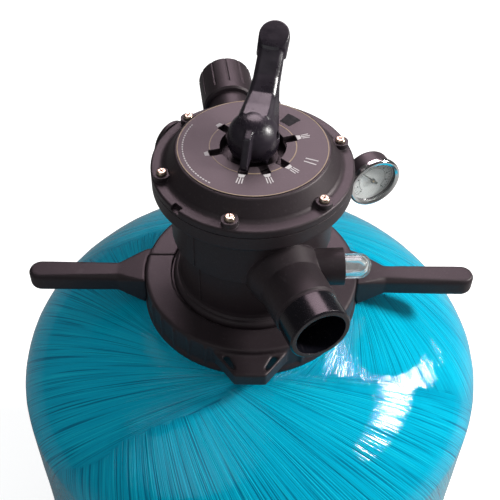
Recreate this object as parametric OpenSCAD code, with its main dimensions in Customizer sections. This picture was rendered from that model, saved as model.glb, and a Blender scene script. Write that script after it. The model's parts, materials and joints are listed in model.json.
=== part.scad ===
// Bobbin-wound sand filter tank with a top-mounted multiport selector valve.
// Millimetres. +Z is up and the origin is the centre of the foot's underside.
// The valve body is clocked about Z, and its lid a few degrees from it.

/* [Tank] */
// Outside radius of the wound shell
tank_r = 261; // [200:1:320]
// Thickness of the shell's wall
tank_wall = 5; // [3:0.5:8]
// Height of the upper shoulder, where the straight wall ends
shoulder_z = 481; // [400:1:600]
// Height of the lower shoulder, where the straight wall starts
hip_z = 165; // [150:1:220]
// Rise of the upper dome over the shoulder
dome_h = 131; // [110:1:160]
// Drop of the lower dome under the hip
bowl_h = 120; // [100:1:130]
// Fullness of the domes: 2 is an ellipse, less is more conical
dome_power = 1.72; // [1.5:0.01:2.2]
// Outside radius of the foot at the floor
foot_r = 205; // [180:1:230]

/* [Neck and lock ring] */
// Outside radius of the collar that is wound into the dome
collar_r = 88; // [84:1:96]
// Outside radius of the two clamped flanges
flange_r = 92; // [90:1:100]
// Outside radius of the lock ring
ring_r = 112; // [106:1:120]
// Height of the lock ring
ring_h = 36; // [30:1:44]
// Distance from the axis to each handle's tip
handle_reach = 237; // [180:1:260]
// Width of a handle, front to back
handle_w = 25; // [18:1:30]

/* [Valve] */
// Clocking of the valve body about Z, in degrees
valve_az = 23; // [15:1:30]
// Clocking of the lid, its screws and notches about Z, in degrees
lid_az = 17; // [15:1:22]
// Height of the lid's flat flange over the floor
lid_z = 780; // [760:1:860]
// Outside radius of the lid and of the body's rim
lid_r = 96; // [90:1:110]
// Radius of the raised label plate
label_r = 72; // [60:1:78]
// Height of the port axes under the lid's flange
port_drop = 76; // [76:1:82]
// Bore radius of a pipe socket, for 48.3 mm pipe
socket_r = 24.2; // [23.5:0.1:24.5]
// Depth of a pipe socket
socket_depth = 30; // [24:1:36]

/* [Selector] */
// Lift of the rotor when the lever is pressed
lift = 6; // [4:0.5:6]
// Press angle of the lever, in degrees
press = 30; // [20:1:34]
// Radius of the rotor's stem
stem_r = 11; // [9:0.5:13]

/* [Gauge] */
// Radius of the gauge's bezel
gauge_r = 28.5; // [24:0.5:30]
// Distance from the valve's axis to the gauge's centre
gauge_reach = 132; // [131:1:150]

/* [Hidden] */
$fn = 96;

// Clearances: a moving fit, and the gap between pieces that only touch
run = 0.06;
gap = 0.1;
// How far a cutting tool runs past the face it cuts
past = 1;

// Heights of the neck stack, from the lid's flange down
ring_top = lid_z - 145;
ring_bottom = ring_top - ring_h;
lip_t = 4;
valve_flange_top = ring_top - lip_t - gap;
valve_flange_t = 14;
joint_face = valve_flange_top - valve_flange_t;
neck_flange_t = 11;
neck_flange_low = joint_face - gap - neck_flange_t;
spigot_r = 71.5;
spigot_len = 34;

// Heights inside the valve
rim_top = lid_z - 8;
rim_low = lid_z - 24;
seat_z = lid_z - 48;
seat_t = 6;
port_z = lid_z - port_drop;
body_step_z = lid_z - 83;
upper_r = 80;
lower_r = 74;
label_z = lid_z + 18;
label_t = 0.8;
well_r = 31;
well_z = lid_z + 6;
pin_z = lid_z + 34;
pin_r = 4;

// Ports, by their direction in the valve body's own frame, and the stubs' section
front_dir = -90;
rear_dir = 75;
stub_r = 30.6;
stub_end = 133;
stub_bore_r = 25.4;
stub_bore_len = 22;
port_r = 20;
// Sight glass, beside the front port
sight_x = 56;
sight_y = -91;
sight_dir = -20;
sight_boss_r = 18;
sight_r = 10.5;
// Lid screws on their pads, and the seat's spokes
screw_circle_r = 87;
screw_r = 2.4;
screw_count = 6;
pad_h = 5.5;
pad_r = 7.8;
spoke_step = 60;
// Blanked tapping behind the valve
plug_dir = 118;
plug_z = lid_z - 31.5;
plug_boss_r = 22.5;
plug_end = 103;
plug_neck_r = 9;

// Drain tapping near the floor of the tank
drain_z = 190;
drain_r = 13;

// Point on a dome's profile: a is 0 at the shoulder and 90 at the top
function dome_point(r, h, a) = [r * pow(cos(a), 2 / dome_power), h * pow(sin(a), 2 / dome_power)];
// The angle at which a dome of radius r has narrowed to the radius to
function dome_angle(r, to) = acos(pow(to / r, dome_power / 2));
// Points along a dome from its shoulder to the radius to, in steps
function dome_line(r, h, to, steps = 22) =
    [for (i = [0 : steps]) dome_point(r, h, dome_angle(r, to) * i / steps)];
// The same points as an upper dome over z, or as a lower one under it
function over(z, line) = [for (p = line) [p[0], z + p[1]]];
function under(z, line) = [for (p = line) [p[0], z - p[1]]];
function reversed(line) = [for (i = [len(line) - 1 : -1 : 0]) line[i]];
// Points on a circular arc in the profile plane
function arc(c, r, from, to, steps = 8) =
    [for (i = [0 : steps]) let (a = from + (to - from) * i / steps) c + r * [cos(a), sin(a)]];

module turned(points) rotate_extrude($fn = 144) polygon(points);
module tube(r_out, r_in, h) {
    difference() {
        cylinder(r = r_out, h = h);
        translate([0, 0, -past]) cylinder(r = r_in, h = h + 2 * past);
    }
}
module torus(r, cord) rotate_extrude() translate([r, 0]) circle(r = cord, $fn = 24);
module on_circle(r, count, start = 0) {
    for (i = [0 : count - 1]) rotate([0, 0, start + i * 360 / count]) translate([r, 0, 0]) children();
}
// Children are drawn in the valve body's own clocked frame, or in the lid's
module clocked() rotate([0, 0, valve_az]) children();
module lid_clocked() rotate([0, 0, lid_az]) children();
// Children stand along +Z and end up along a port that points to dir
module along_port(dir) rotate([0, 0, dir]) translate([0, 0, port_z]) rotate([0, 90, 0]) children();
// Children stand along +Z and end up along the gauge's stem
module along_gauge() translate([0, 0, gauge_z]) rotate([0, 90, 0]) children();
// Children face +Z and end up facing the gauge's reader, with +X away from the valve
module gauge_face() translate([gauge_reach, 0, gauge_z]) rotate([90, 0, 0]) children();

gauge_z = lid_z - 61.5;
gauge_stem_r = 6.5;
gauge_neck_r = 5.2;

// ---- Tank ----

module tank_shell() {
    inner_r = tank_r - tank_wall;
    outer = concat(
        [[0, hip_z - bowl_h]],
        reversed(under(hip_z, dome_line(tank_r, bowl_h, 20))),
        over(shoulder_z, dome_line(tank_r, dome_h, collar_r + gap)));
    inner = concat(
        reversed(over(shoulder_z, dome_line(inner_r, dome_h - tank_wall, collar_r + gap))),
        under(hip_z, dome_line(inner_r, bowl_h - tank_wall, 20)),
        [[0, hip_z - bowl_h + tank_wall]]);
    color("darkturquoise") difference() {
        turned(concat(outer, inner));
        translate([0, -tank_r + 3 * tank_wall, drain_z])
            rotate([90, 0, 0]) cylinder(r = drain_r + gap, h = 6 * tank_wall);
    }
}

module neck_insert() {
    skirt_r = 122;
    skirt_t = 5;
    inner_r = tank_r - tank_wall - gap;
    inner_h = dome_h - tank_wall - gap;
    edge = reversed(over(shoulder_z, dome_line(inner_r, inner_h, collar_r)));
    skirt = [for (p = edge) if (p[0] <= skirt_r) p];
    low = [for (p = reversed(skirt)) p - [0, skirt_t]];
    groove_r = 80;
    groove_w = 3.2;
    groove_d = 4.8;
    color("dimgray") difference() {
        turned(concat(
            [[spigot_r + run, low[len(low) - 1][1]], [spigot_r + run, joint_face - gap],
             [flange_r, joint_face - gap], [flange_r, neck_flange_low + 1],
             [flange_r - 1, neck_flange_low], [collar_r, neck_flange_low]],
            skirt, low));
        translate([0, 0, joint_face - gap - groove_d])
            tube(groove_r + groove_w, groove_r - groove_w, groove_d + past);
    }
}

module neck_oring() {
    cord = 2.4;
    color("black") translate([0, 0, joint_face - gap - cord]) torus(80, cord);
}

module foot() {
    foot_h = 96;
    wall = 7;
    flare = 12;
    rib_count = 8;
    rib_t = 8;
    cradle = concat(
        [[0, hip_z + tank_r]],
        [[tank_r + gap, hip_z + tank_r]],
        under(hip_z, dome_line(tank_r + gap, bowl_h + gap, 20)),
        [[0, hip_z - bowl_h - gap]]);
    color([0.09, 0.09, 0.1]) difference() {
        union() {
            turned([
                [foot_r - wall, 0], [foot_r + flare, 0], [foot_r + flare, 6], [foot_r + 2, 12],
                [foot_r + 8, foot_h - 4], [foot_r + 6, foot_h], [foot_r - wall - 6, foot_h]]);
            tube(70, 70 - wall, foot_h / 2);
            for (i = [0 : rib_count - 1]) rotate([0, 0, i * 360 / rib_count])
                translate([66, -rib_t / 2, 0]) cube([foot_r - wall - 64, rib_t, foot_h - 20]);
        }
        turned(cradle);
        on_circle(foot_r - 1, 12, 15) translate([0, 0, 52])
            rotate([0, 90, 0]) translate([0, 0, -9]) cylinder(r = 13, h = 26);
    }
}

module drain_frame() translate([0, -tank_r, drain_z]) rotate([90, 0, 0]) children();

drain_seat = 2.2;
drain_flange_t = 6;
drain_out = 38;

module drain_fitting() {
    bore = 9;
    inside = 34;
    color([0.1, 0.1, 0.11]) drain_frame() difference() {
        union() {
            translate([0, 0, -inside]) cylinder(r = drain_r, h = inside + drain_out);
            translate([0, 0, drain_seat]) cylinder(r = 24, h = drain_flange_t);
            for (i = [0 : 4]) translate([0, 0, 20 + 3.4 * i]) cylinder(r = drain_r + 1, h = 1.6);
        }
        translate([0, 0, -inside - past]) cylinder(r = bore, h = inside + drain_out + 2 * past);
    }
}

module drain_oring() {
    color("black") drain_frame() translate([0, 0, drain_seat - 1.2]) torus(18, 0.95);
}

module drain_nut() {
    color([0.1, 0.1, 0.11]) drain_frame() translate([0, 0, -20]) difference() {
        cylinder(r = 22, h = 12, $fn = 6);
        translate([0, 0, -past]) cylinder(r = drain_r + run, h = 12 + 2 * past);
    }
}

module drain_cap() {
    len = 24;
    top = drain_out + 3.2;
    color([0.12, 0.12, 0.13]) drain_frame() difference() {
        union() {
            translate([0, 0, top - len]) cylinder(r = 18, h = len);
            on_circle(16, 12, 15) translate([0, -1.2, top - len]) cube([3.4, 2.4, len - 2]);
            translate([-3, -14, top - past]) cube([6, 28, 9]);
        }
        translate([0, 0, top - len - past]) cylinder(r = drain_r + 1 + run, h = len - 2);
    }
}

// ---- Water path inside the tank ----

hub_z = 108;
pipe_r = 25;
lateral_r = 8;
lateral_count = 8;

module standpipe() {
    top = joint_face - spigot_len + 8;
    low = hub_z + 12;
    color("whitesmoke") translate([0, 0, low]) tube(pipe_r, pipe_r - 2.5, top - low);
}

module standpipe_oring() {
    color("black") translate([0, 0, joint_face - spigot_len + 3]) torus(pipe_r + 1.75, 1.65);
}

module lateral_hub() {
    color("gainsboro") difference() {
        union() {
            translate([0, 0, hub_z - 20]) cylinder(r = 38, h = 44);
            translate([0, 0, hub_z + 20]) cylinder(r = 31, h = 22);
            on_circle(30, lateral_count) rotate([0, 90, 0]) translate([-hub_z, 0, 0])
                cylinder(r = lateral_r + 4, h = 22);
        }
        translate([0, 0, hub_z + 11.9]) cylinder(r = pipe_r + run, h = 40);
        translate([0, 0, hub_z - 14]) cylinder(r = 22, h = 40);
        on_circle(16, lateral_count) rotate([0, 90, 0]) translate([-hub_z, 0, 0])
            cylinder(r = lateral_r + run, h = 50);
    }
}

module laterals() {
    lateral_len = 124;
    slot_count = 16;
    color("whitesmoke") on_circle(32, lateral_count)
        translate([0, 0, hub_z]) rotate([0, 90, 0]) difference() {
        union() {
            cylinder(r = lateral_r, h = lateral_len);
            translate([0, 0, 24]) cylinder(r = lateral_r + 2, h = lateral_len - 24);
        }
        translate([0, 0, -past]) cylinder(r = lateral_r - 2, h = lateral_len - 4);
        for (i = [0 : slot_count - 1]) translate([5, -12, 30 + 6 * i]) cube([7, 24, 0.8]);
    }
}

module diffuser() {
    low = joint_face - 60;
    color("gainsboro") difference() {
        union() {
            translate([0, 0, low]) cylinder(r = 60, h = 6);
            translate([0, 0, low]) tube(60, 56, 22);
            translate([0, 0, low]) cylinder(r = 30, h = 14);
        }
        translate([0, 0, low - past]) cylinder(r = pipe_r + run, h = 30);
        on_circle(44, 18) translate([0, 0, low - past]) cylinder(r = 4, h = 10);
        on_circle(55, 18, 10) translate([0, 0, low + 14]) rotate([0, 90, 0]) cylinder(r = 3, h = 8);
    }
}

// ---- Lock ring ----

split_y = 18;
ring_bolt_x = 101;
ring_bolt_r = 3;
ring_bolt_z = ring_bottom + ring_h / 2;

module ring_band() {
    lip_low = neck_flange_low - gap;
    round_r = 3;
    dome_gap = 3;
    turned(concat(
        [[collar_r + run + gap, ring_bottom + dome_gap], [collar_r + 2 * dome_gap, ring_bottom]],
        [[ring_r + 2, ring_bottom], [ring_r + 2, ring_bottom + 4], [ring_r, ring_bottom + 8]],
        arc([ring_r - round_r, ring_top - round_r], round_r, 0, 90),
        [[flange_r - 7, ring_top], [flange_r - 8, ring_top - 1], [flange_r - 8, ring_top - lip_t],
         [flange_r + gap, ring_top - lip_t], [flange_r + gap, lip_low],
         [collar_r + run + gap, lip_low]]));
}

module ring_bolt_holes(head_r, shank_r) {
    for (side = [-1, 1]) translate([side * ring_bolt_x, split_y - 24, ring_bolt_z])
        rotate([-90, 0, 0]) {
            cylinder(r = shank_r, h = 50);
            translate([0, 0, 42]) cylinder(r = head_r, h = 30);
        }
}

module lock_ring_front() {
    rib_step = 10;
    rib_first = 207;
    band_h = 26;
    color([0.13, 0.12, 0.13]) difference() {
        union() {
            intersection() {
                ring_band();
                translate([-150, -150, ring_bottom]) cube([300, 150 + split_y - gap, ring_h]);
            }
            for (a = [rib_first : rib_step : 540 - rib_first]) if (abs(a - 270) > 20) rotate([0, 0, a])
                translate([ring_r - 2, -1.5, ring_bottom + 5]) cube([3.6, 3, band_h]);
            ring_lug();
        }
        ring_bolt_holes(6, ring_bolt_r + run);
    }
}

// The lug at the front: a hollow trapezoid with a slanted window beside each edge
module ring_lug() {
    root = ring_r - 4;
    reach = 136;
    root_half = 36;
    tip_half = 15;
    top = ring_bottom + 30;
    deep = 16;
    skin = 3;
    out = reach - root;
    translate([0, -root, top - deep]) difference() {
        linear_extrude(height = deep)
            polygon([[-root_half, 0], [-tip_half, -out], [tip_half, -out], [root_half, 0]]);
        translate([0, 0, -past]) linear_extrude(height = deep - skin + past)
            polygon([[-root_half + 5, past], [-tip_half + 3, -out + skin], [tip_half - 3, -out + skin],
                [root_half - 5, past]]);
        for (side = [-1, 1]) translate([0, 0, -past]) linear_extrude(height = deep + 2 * past)
            polygon([[side * (root_half - 8), -5], [side * (tip_half + 1), 6 - out],
                [side * (tip_half - 1), 9 - out], [side * (tip_half + 6), -5]]);
    }
}

module handle_half() {
    root_x = ring_r + gap;
    neck_x = root_x + 28;
    tip_x = handle_reach - handle_w / 2;
    mid_z = ring_bottom + 20;
    half_h = 12;
    taper = 0.9;
    // The flared root, then the grip with its rounded tip
    hull() {
        translate([root_x - 10, -20, ring_bottom + 1]) cube([10, split_y + 30, ring_h - 2]);
        translate([neck_x, 0, mid_z]) grip_section(half_h, handle_w / 2);
    }
    hull() {
        translate([neck_x, 0, mid_z]) grip_section(half_h, handle_w / 2);
        for (layer = [[half_h * taper, 0.84], [half_h * 0.6, 1]])
            translate([tip_x, 0, mid_z - layer[0]])
                cylinder(r = handle_w / 2 * layer[1], h = 2 * layer[0], $fn = 32);
    }
}

// A thin eight-sided plate across X, as the section of a handle
module grip_section(half_h, half_w) {
    cut = 4.5;
    rotate([0, 90, 0]) linear_extrude(height = 2) polygon([
        [-half_h, -half_w + cut], [-half_h + cut, -half_w], [half_h - cut, -half_w], [half_h, -half_w + cut],
        [half_h, half_w - cut], [half_h - cut, half_w], [-half_h + cut, half_w], [-half_h, half_w - cut]]);
}

module lock_ring_rear() {
    color([0.11, 0.1, 0.11]) difference() {
        union() {
            intersection() {
                ring_band();
                translate([-150, split_y, ring_bottom]) cube([300, 150, ring_h]);
            }
            difference() {
                union() {
                    handle_half();
                    mirror([1, 0, 0]) handle_half();
                }
                // The front half nests between the roots, so they stop outside its wall
                intersection() {
                    translate([0, 0, ring_bottom - past]) union() {
                        cylinder(r = ring_r + 2 + gap, h = 9 + past);
                        cylinder(r = ring_r + gap, h = ring_h + 2 * past);
                    }
                    translate([-150, -150, ring_bottom - past])
                        cube([300, 150 + split_y, ring_h + 2 * past]);
                }
                translate([0, 0, ring_bottom - past]) cylinder(r = flange_r + 2, h = ring_h + 2 * past);
            }
            for (side = [-1, 1]) rotate([0, 0, side > 0 ? 10.5 : 169.5])
                translate([ring_r - 1, -2, ring_bottom + 9]) cube([3, 4, ring_h - 12]);
        }
        ring_bolt_holes(6, ring_bolt_r + run);
    }
}

module lock_ring_bolts() {
    color("silver") for (side = [-1, 1])
        translate([side * ring_bolt_x, split_y - 22, ring_bolt_z]) rotate([-90, 0, 0]) difference() {
            union() {
                cylinder(r = ring_bolt_r, h = 40.2);
                translate([0, 0, 40.1]) cylinder(r = 5.2, h = 5);
            }
            translate([0, 0, 42]) cylinder(r = 2.9, h = 6, $fn = 6);
        }
}

// ---- Valve body ----

module port_tube(dir, r, from, to) along_port(dir) translate([0, 0, from]) cylinder(r = r, h = to - from);
module sight_frame()
    translate([sight_x, sight_y, port_z]) rotate([0, 0, sight_dir]) rotate([0, 90, 0]) children();
module plug_frame() rotate([0, 0, plug_dir]) translate([0, 0, plug_z]) rotate([0, 90, 0])
    translate([0, 0, plug_end]) children();

// Outer casting: spigot, flange, ridge, barrel, shoulder and rim
module body_casting(spigot_low) {
    round_r = 3;
    ridge_r = 5;
    turned(concat(
        [[0, spigot_low], [spigot_r, spigot_low], [spigot_r, joint_face],
         [flange_r - 1, joint_face], [flange_r, joint_face + 1]],
        arc([flange_r - 1, valve_flange_top - 1], 1, 0, 90, 3),
        [[flange_r - 10, valve_flange_top]],
        arc([flange_r - 10 - ridge_r, valve_flange_top + 3], ridge_r, 0, 90, 6),
        [[lower_r + 1, valve_flange_top + 10], [lower_r, valve_flange_top + 14],
         [lower_r, body_step_z - 3], [upper_r - 1, body_step_z], [upper_r, body_step_z + 1],
         [upper_r, rim_low - 10], [lid_r - 3, rim_low]],
        arc([lid_r - round_r, rim_low + round_r], round_r, -90, 0, 4),
        [[lid_r, rim_top], [0, rim_top]]));
}

module valve_body() {
    spigot_low = joint_face - spigot_len;
    tube_r = 32;
    chamber_r = 68;
    seam_dir = 204;
    color([0.12, 0.11, 0.12]) clocked() difference() {
        union() {
            body_casting(spigot_low);
            for (dir = [front_dir, rear_dir]) along_port(dir) {
                rotate_extrude() polygon([
                    [0, 20], [stub_r + 6, 20], [stub_r + 5, lower_r + 6], [stub_r, lower_r + 22],
                    [stub_r, stub_end - 4], [stub_r - 1.5, stub_end - 2.5], [stub_r - 1.5, stub_end],
                    [0, stub_end]]);
            }
            // Bosses for the sight glass, the gauge and the blanked tapping
            sight_frame() translate([0, 0, -46]) cylinder(r = sight_boss_r, h = 46);
            along_gauge() cylinder(r = 14, h = 93);
            plug_frame() translate([0, 0, 30 - plug_end]) cylinder(r = plug_boss_r, h = plug_end - 30);
            // Mould seam on the barrel and the shoulder
            rotate([0, 0, seam_dir]) {
                translate([lower_r - 1, -0.8, valve_flange_top + 12]) cube([2, 1.6, 60]);
                translate([upper_r - 1, -0.8, body_step_z + 2]) cube([2, 1.6, rim_low - body_step_z - 10]);
            }
        }
        // Rotor chamber over the seat, and the water chambers under it
        translate([0, 0, seat_z]) cylinder(r = chamber_r, h = rim_top - seat_z + past);
        difference() {
            translate([0, 0, spigot_low - past])
                cylinder(r = 64, h = seat_z - seat_t - spigot_low + past);
            translate([0, 0, spigot_low - 2 * past]) cylinder(r = tube_r, h = 200);
            translate([-80, -2.5, spigot_low + 40]) cube([160, 5, 160]);
        }
        // Seat for the standpipe and its seal, and the six windows in the seat plate
        translate([0, 0, spigot_low - past]) cylinder(r = pipe_r + 0.3, h = 14 + past);
        translate([0, 0, spigot_low + 1]) cylinder(r = 28.6, h = 4);
        translate([0, 0, spigot_low - past]) cylinder(r = 20, h = 95);
        for (i = [0 : 5]) rotate([0, 0, 30 + i * spoke_step]) seat_window(seat_z - seat_t - 2 * past, 20);
        // Ports, tappings and blind screw holes
        for (dir = [front_dir, rear_dir]) {
            port_tube(dir, port_r, 40, stub_end + past);
            port_tube(dir, stub_bore_r, stub_end - stub_bore_len, stub_end + past);
        }
        sight_frame() translate([0, 0, -40]) cylinder(r = 5, h = 50);
        sight_frame() translate([0, 0, -12]) cylinder(r = sight_r + run, h = 20);
        along_gauge() translate([0, 0, 60]) cylinder(r = 3, h = 50);
        along_gauge() translate([0, 0, 79]) cylinder(r = gauge_stem_r + run, h = 20);
        plug_frame() translate([0, 0, -50]) cylinder(r = 4, h = 60);
        plug_frame() translate([0, 0, -16]) cylinder(r = plug_neck_r + run, h = 20);
        rotate([0, 0, lid_az - valve_az]) on_circle(screw_circle_r, screw_count)
            translate([0, 0, rim_low + 2.5]) cylinder(r = screw_r + run, h = 40);
        // Groove for the lid's seal
        translate([0, 0, rim_top - 2.6]) tube(77.2, 73.4, 2.6 + past);
    }
}

// One 60-degree window between two spokes of the seat
module seat_window(z, h) {
    span = 40;
    translate([0, 0, z]) rotate([0, 0, -span / 2]) rotate_extrude(angle = span)
        translate([27, 0]) square([32, h]);
}

module spider_gasket() {
    color([0.15, 0.15, 0.15]) clocked() difference() {
        translate([0, 0, seat_z + gap]) cylinder(r = 63, h = 2.4);
        translate([0, 0, seat_z - past]) cylinder(r = 20, h = 5);
        for (i = [0 : 5]) rotate([0, 0, 30 + i * spoke_step]) seat_window(seat_z - past, 5);
    }
}

// ---- Selector ----

rotor_low = seat_z + 2.7;
rotor_t = 8;
stem_top = pin_z + 9;
washer_t = 2;
spring_low = rotor_low + rotor_t + gap;
spring_top = lid_z - 22;

module rotor() {
    pin_bore = pin_r + run;
    color("ghostwhite") lid_clocked() difference() {
        union() {
            translate([0, 0, rotor_low]) cylinder(r = 64, h = rotor_t);
            translate([0, 0, rotor_low]) cylinder(r = stem_r, h = stem_top - rotor_low);
        }
        rotate([0, 0, 30]) seat_window(rotor_low - past, 12);
        rotate([0, 0, 210]) seat_window(rotor_low - past, 5);
        translate([0, 0, pin_z]) rotate([0, 90, spoke_step + 90]) translate([0, 0, -20])
            cylinder(r = pin_bore, h = 40);
    }
}

// A round wire's section in a level plane is a lens bent round the coil
module spring() {
    coil_r = 17;
    wire = 1.2;
    turns = 2.5;
    h = spring_top - spring_low - gap;
    span = 360 * 2 * wire / (h / turns);
    steps = 10;
    edge = function (sign) [for (i = [0 : steps]) let (s = -1 + 2 * i / steps, a = sign * s * span / 2,
        r = coil_r + sign * wire * sqrt(max(0, 1 - s * s))) r * [cos(a), sin(a)]];
    color("silver") translate([0, 0, spring_low])
        linear_extrude(height = h, twist = -360 * turns, slices = 60, $fn = 16)
            polygon(concat(edge(1), edge(-1)));
}

module spring_washer() {
    color("silver") translate([0, 0, spring_top]) tube(22, stem_r + 0.5, washer_t);
}

module stem_oring() {
    color("black") translate([0, 0, lid_z - 5]) torus(stem_r + 1.6, 1.5);
}

module lid_notches(z, h) {
    for (a = [0, 60, 120, 180, 240, 270, 300]) rotate([0, 0, a])
        translate([well_r - 4, -4.5, z]) cube([15, 9, h]);
}

module lid() {
    boss_low = lid_z - 20 + gap;
    groove_z = lid_z - 5;
    skin = 5;
    notch_az = 224;
    color([0.13, 0.12, 0.13]) lid_clocked() difference() {
        union() {
            turned(concat(
                [[0, boss_low], [24, boss_low], [26, boss_low + 2], [28, lid_z + 1], [66, lid_z + 12],
                 [72, lid_z - 8 + gap], [lid_r - 0.8, lid_z - 8 + gap], [lid_r, lid_z - 7]],
                arc([lid_r - 2, lid_z - 2], 2, 0, 90, 4),
                arc([88, lid_z + 7], 7, 270, 205, 6),
                arc([label_r - 1, label_z - 3], 3, 30, 90, 5),
                [[0, label_z]]));
            on_circle(screw_circle_r, screw_count) translate([0, 0, lid_z - 2])
                cylinder(r = pad_r, h = 2 + pad_h);
        }
        translate([0, 0, boss_low - past]) cylinder(r = stem_r + run, h = 60);
        translate([0, 0, well_z]) cylinder(r = well_r, h = 30);
        translate([0, 0, groove_z - 1.7]) cylinder(r = stem_r + 3.3, h = 3.4);
        lid_notches(label_z - skin, 10);
        on_circle(screw_circle_r, screw_count) translate([0, 0, lid_z - 20])
            cylinder(r = screw_r + run, h = 40);
        // Lifting notch in the rim
        rotate([0, 0, notch_az - lid_az]) translate([lid_r - 6, -5, lid_z - 5]) cube([10, 10, 10]);
    }
}

module lid_oring() {
    color("black") translate([0, 0, rim_top - 1.25]) torus(75.3, 1.25);
}

module lid_screws() {
    head_r = 5;
    head_z = lid_z + pad_h + gap;
    color("tan") lid_clocked() on_circle(screw_circle_r, screw_count) difference() {
        union() {
            translate([0, 0, rim_low + 4]) cylinder(r = screw_r, h = head_z - rim_low - 3);
            translate([0, 0, head_z]) rotate_extrude($fn = 48) polygon(concat(
                [[0, 0], [head_r, 0], [head_r, 1.2]], arc([head_r - 2.2, 1.2], 2.2, 0, 90, 5), [[0, 3.4]]));
        }
        translate([0, 0, head_z + 1.2]) for (a = [20, 110]) rotate([0, 0, a])
            translate([-2.8, -0.6, 0]) cube([5.6, 1.2, 4]);
    }
}

module label_plate() {
    color([0.2, 0.2, 0.2]) lid_clocked() difference() {
        translate([0, 0, label_z + gap]) cylinder(r = label_r - 1.5, h = label_t);
        translate([0, 0, label_z - past]) cylinder(r = well_r, h = 5);
        lid_notches(label_z - past, 5);
    }
}

module lever_washer() {
    color("ghostwhite") translate([0, 0, well_z + gap]) tube(24, stem_r + 0.5, washer_t);
}

module lever_frame() rotate([0, 0, lid_az + spoke_step]) translate([0, 0, pin_z]) children();

module lever_pin() {
    color("silver") lever_frame() rotate([90, 0, 0]) translate([0, 0, -21]) cylinder(r = pin_r, h = 42);
}

// The cam's support distance grows in step with the lift, so its heel stays on the washer
module lever_cam(thick, upper) {
    rest_h = pin_z - (well_z + gap + washer_t) - gap;
    per_rad = lift / (press * PI / 180);
    steps = 10;
    heel = [for (i = [0 : steps]) let (t = press * i / steps, p = rest_h + per_rad * t * PI / 180)
        p * [sin(t), -cos(t)] + per_rad * [cos(t), sin(t)]];
    rotate([90, 0, 0]) translate([0, 0, -thick / 2]) linear_extrude(height = thick)
        polygon(concat([[-14, -rest_h + 4], [-11, -rest_h]], heel, upper));
}

// A thin section of the arm, given as [x, top, underside, half width at the top, and at the underside]
module arm_section(s) {
    edge = 3;
    translate([s[0], 0, 0]) rotate([90, 0, 90]) linear_extrude(height = 0.5) polygon([
        [-s[4], s[2]], [s[4], s[2]], [s[3] + 0.5, s[1] - edge], [s[3] - edge, s[1]],
        [edge - s[3], s[1]], [-s[3] - 0.5, s[1] - edge]]);
}

module lever() {
    hub_r = 24.5;
    hub_drop = 6;
    cam_t = 33;
    arm = [[4, 17, -8, 14, 23], [18, 18, -4, 14, 20.5], [34, 21, 5, 12.5, 17],
        [50, 30, 18, 11.5, 13.5], [69, 46, 36, 11.5, 13]];
    paddle = [70, 47, 35, 13, 14.5];
    paddle_r = 14.5;
    paddle_t = 10;
    paddle_lean = 30;
    color([0.06, 0.06, 0.07]) lever_frame() difference() {
        union() {
            intersection() {
                lever_cam(cam_t, [[22, -10], [18, -4], [-14, -4]]);
                cylinder(r = well_r - 0.4, h = 80, center = true);
            }
            intersection() {
                translate([0, 0, -hub_drop]) sphere(r = hub_r);
                lever_cam(60, [[40, -12], [40, 40], [-40, 40], [-40, -12]]);
            }
            for (i = [0 : len(arm) - 2]) hull() {
                arm_section(arm[i]);
                arm_section(arm[i + 1]);
            }
            hull() {
                arm_section(paddle);
                translate([84, 0, 50]) rotate([0, -paddle_lean, 0])
                    cylinder(r = paddle_r, h = paddle_t, center = true, $fn = 40);
            }
            // The pointer at the front of the hub
            rotate([90, 0, 0]) translate([0, 0, -3.5]) linear_extrude(height = 7) polygon([
                [-6, 16], [-25, 11], [-38, -10], [-38, -14.8], [-28, -14.8], [-6, -8]]);
        }
        // Slot for the stem and the pin's bore
        translate([0, 0, -40]) cylinder(r = stem_r + 0.6, h = 40);
        stem_slot();
        rotate([90, 0, 0]) translate([0, 0, -30]) cylinder(r = pin_r + run, h = 60);
    }
}

// Room for the stem's head as the lever rocks over it
module stem_slot() {
    side = 2 * stem_r + 1.2;
    head_swing = 15;
    depth = 30;
    rotate([90, 0, 0]) translate([0, 0, -side / 2]) linear_extrude(height = side)
        polygon(concat([[-stem_r - 2, 0]], arc([0, 0], head_swing, 175, 0, 16),
            [[head_swing + depth * tan(press + 2), -depth], [-stem_r - 2, -depth]]));
}

// ---- Sight glass, adapters and plug ----

module sight_glass() {
    dome_r = sight_r + 1.5;
    bore = sight_r - 3;
    len = 15;
    color([0.85, 0.9, 0.92, 0.4]) clocked() sight_frame() difference() {
        union() {
            translate([0, 0, -11]) cylinder(r = sight_r - gap, h = 11 + 2 * gap);
            translate([0, 0, gap]) cylinder(r = dome_r, h = len);
            translate([0, 0, len]) sphere(r = dome_r);
        }
        translate([0, 0, -12]) cylinder(r = bore, h = 12 + len);
        translate([0, 0, len]) sphere(r = bore);
        translate([0, 0, -7.5]) tube(20, sight_r - 1.6, 2.6);
    }
}

module sight_oring() {
    color("black") clocked() sight_frame() translate([0, 0, -6.2]) torus(sight_r - 0.75, 0.74);
}

module adapter_spigot(shoulder) {
    difference() {
        translate([0, 0, stub_end - stub_bore_len + gap]) cylinder(r = stub_bore_r - run, h = shoulder);
        translate([0, 0, stub_end - 12]) tube(40, stub_bore_r - 2.6, 3.2);
    }
}

module port_oring(dir) along_port(dir) translate([0, 0, stub_end - 10.4]) torus(stub_bore_r - 1.25, 1.2);

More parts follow.
